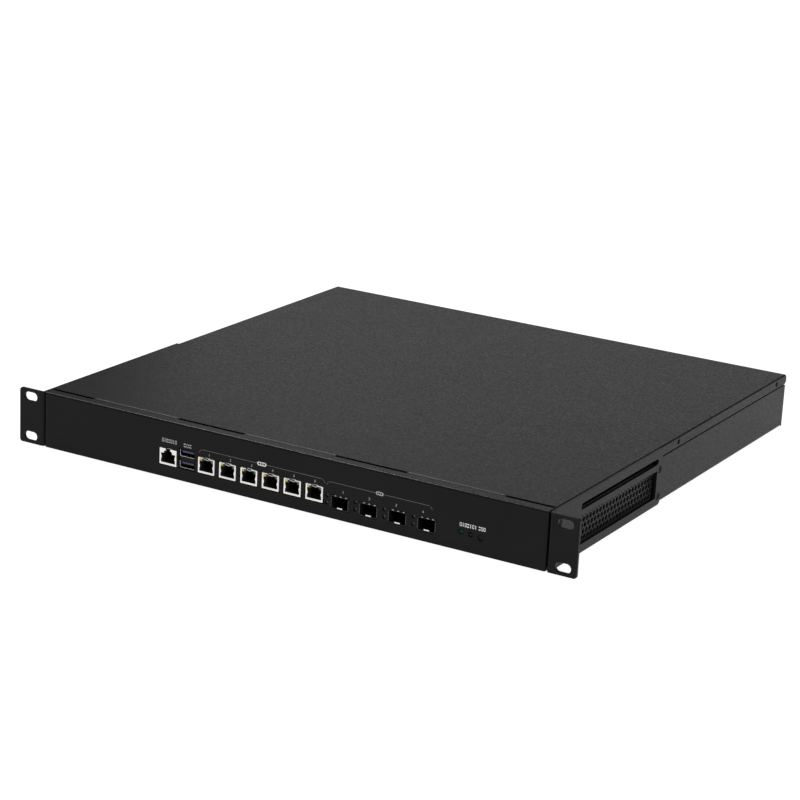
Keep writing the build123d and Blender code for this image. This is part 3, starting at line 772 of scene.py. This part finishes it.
def side_screws(name, node, places, face, head):
    """Flat cross-recessed heads of radius head, in both sides.

    The places are (depth, z), and face is how far the heads' outer faces are from X = 0.
    """
    arm, reach = head * 0.13, head * 0.6
    cross = [(reach, arm), (arm, arm), (arm, reach), (-arm, reach), (-arm, arm), (-reach, arm)]
    cross += [(-u, -v) for u, v in cross]
    bm = bmesh.new()
    for side in (-1, 1):
        for depth, z in places:
            first = len(bm.verts)
            plate(bm, [circle(0, 0, head, 28), cross], 0.02, 0.42)
            turned(bm, 0, 0, [(0, 0.42), (head * 0.8, 0.43), (head * 0.5, 1.3), (0, 1.3)], 28)
            bm.verts.ensure_lookup_table()
            for vert in bm.verts[first:]:
                u, inward, v = vert.co
                vert.co = (side * (face - inward), depth + u, z + v)
    heads = settle(bm, name, screw_dark, bevel=0.08)
    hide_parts(node)


EAR_SCREWS = ((13.0, 33.0), (13.0, 7.0), (175.4, 28.1), (175.4, 7.0))
side_screws("ear_screw_heads", "ear_screws", EAR_SCREWS, 219.75, 2.3)
COVER_SCREWS = ((211.0, 40.0), (402.7, 40.0))
side_screws("cover_screw_heads", "cover_screws", COVER_SCREWS, 217.3, 1.95)


# ---------------------------------------------------------------- the crease behind the lip


COVER_TOP = 44.0


def cover_crease():
    """The low fold line on the cover, between its front notches, in a much lighter coat: a painted
    highlight along the fold.
    """
    bm = bmesh.new()
    for left, right in ((-177.0, -100.0), (-38.5, 38.5), (100.0, 177.0)):
        block(bm, left, right, 10.95, 11.45, COVER_TOP - 0.1, COVER_TOP + 0.06)
    settle(bm, "cover_crease", painted_highlight_coat, bevel=0.05)


cover_crease()


# ---------------------------------------------------------------- printed marks


PRINT = 0.03  # how far the ink stands off the panel
PRINT_BACK = 0.005  # the same for the back of a printed plate
LINE_WIDTH = 0.34
RING = 0.42  # the width of a printed ring's line
TEXT_SIZE = 1.4 / 1000  # font size in metres for each millimetre of a digit's height
TEXT_SPREAD = 0.00001  # metres that a digit grows in each direction
ink = plastic("ink", (0.42, 0.42, 0.41), 0.6, 0.02)
line_ink = plastic("line_ink", (0.13, 0.13, 0.13), 0.6, 0.02)
pill_ink = plastic("pill_ink", (0.8, 0.8, 0.79), 0.6, 0.02)


def stroke(bm, points, width):
    """A printed line through (x, z) points."""
    for (x0, z0), (x1, z1) in zip(points, points[1:]):
        along = Vector((x1 - x0, z1 - z0)).normalized()
        side = Vector((-along.y, along.x)) * width / 2
        tail = along * width * 0.15
        corners = [
            (x0 - tail.x + side.x, z0 - tail.y + side.y),
            (x0 - tail.x - side.x, z0 - tail.y - side.y),
            (x1 + tail.x - side.x, z1 + tail.y - side.y),
            (x1 + tail.x + side.x, z1 + tail.y + side.y),
        ]
        bm.faces.new([bm.verts.new((u, -PRINT, v)) for u, v in corners])


def arc_points(x, z, radius, start_angle, end_angle, steps=6):
    """Points of (x, z) along an arc, from one angle in degrees to another."""
    span = end_angle - start_angle
    angles = [radians(start_angle + span * i / steps) for i in range(steps + 1)]
    return [(x + radius * cos(a), z + radius * sin(a)) for a in angles]


def bracket_line(name, x0, x1, z, drop, gap):
    """A line over a group of ports, with turned-down ends and room for the pill in its middle."""
    bm = bmesh.new()
    left = [(x0, z - drop)] + arc_points(x0 + 2.6, z - 1.6, 1.6, 140, 90)
    stroke(bm, left + [(gap[0], z)], LINE_WIDTH)
    right = arc_points(x1 - 2.6, z - 1.6, 1.6, 90, 40) + [(x1, z - drop)]
    stroke(bm, [(gap[1], z)] + right, LINE_WIDTH)
    settle(bm, name, line_ink)


def pill(name, x, z, width, height, material):
    """A lozenge with three dark dots, in place of a printed word."""
    bm = bmesh.new()
    left, right = x - width / 2, x + width / 2
    outline = rounded(left, right, z - height / 2, z + height / 2, height / 2.02, 8)
    dots = [circle(x + dx, z, height * 0.27, 12) for dx in (-width * 0.25, 0, width * 0.25)]
    plate(bm, [outline] + dots, -PRINT, -PRINT_BACK)
    settle(bm, name, material)


def marks(name, x0, x1, z0, z1, kinds, material=ink):
    """A row of plain signs, in place of a printed word: r is a ring, b a bar and d two dashes."""
    bm = bmesh.new()
    pitch = (x1 - x0) / len(kinds)
    for i, kind in enumerate(kinds):
        left = x0 + pitch * (i + 0.1)
        right = x0 + pitch * (i + 0.9)
        middle = (left + right) / 2
        if kind == "r":
            inner = rounded(left + RING, right - RING, z0 + RING, z1 - RING, 0.2, 2)
            plate(bm, [rounded(left, right, z0, z1, 0.45, 3), inner], -PRINT, -PRINT_BACK)
        elif kind == "b":
            plate(bm, [rounded(middle - 0.28, middle + 0.28, z0, z1, 0.1, 2)], -PRINT, -PRINT_BACK)
        else:
            for z in (z0 + 0.5, z1 - 0.5):
                plate(bm, [rounded(left, right, z - 0.45, z + 0.45, 0.3, 2)], -PRINT, -PRINT_BACK)
    settle(bm, name, material)


def digit(name, text, x, z, height):
    """A printed port number, as a mesh."""
    curve = bpy.data.curves.new(name, "FONT")
    curve.body = text
    curve.size = height * TEXT_SIZE
    curve.align_x = "CENTER"
    curve.align_y = "CENTER"
    curve.extrude = TEXT_SPREAD
    curve.offset = TEXT_SPREAD
    holder = bpy.data.objects.new(name + "_text", curve)
    scene.collection.objects.link(holder)
    bpy.context.view_layer.update()
    mesh = bpy.data.meshes.new_from_object(holder)
    bpy.data.objects.remove(holder)
    mesh.transform(Matrix.Translation(at(x, -PRINT, z)) @ Matrix.Rotation(pi / 2, 4, "X"))
    mesh.materials.clear()
    mesh.materials.append(ink)
    piece = bpy.data.objects.new(name, mesh)
    scene.collection.objects.link(piece)
    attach(piece, "housing")


bracket_line("lan_line", -72.8, 37.4, 28.2, 2.6, (-21.8, -12.6))
bracket_line("module_line", 38.9, 126.6, 27.4, 2.6, (79.5, 86.9))
pill("lan_pill", -17.2, 28.2, 8.2, 2.9, pill_ink)
pill("module_pill", 83.2, 27.4, 6.4, 2.7, ink)
marks("console_marks", -106.7, -92.9, 27.2, 30.2, "rbrdrbr")
marks("usb_marks", -87.0, -79.6, 26.8, 29.7, "drd")
marks("status_marks", 148.7, 162.6, 18.1, 21.0, "rbrdbrb", pill_ink)
marks("reset_marks", 163.8, 169.6, 18.1, 21.0, "drr", pill_ink)
for number, digit_x in enumerate((-63.6, -44.7, -26.0, -7.6, 10.9, 29.0), 1):
    digit(f"lan_digit_{number}", str(number), digit_x, 25.1, 2.0)
for number, digit_x in enumerate((53.0, 74.9, 97.2, 119.1), 1):
    digit(f"module_digit_{number}", str(number), digit_x, 21.6, 2.0)
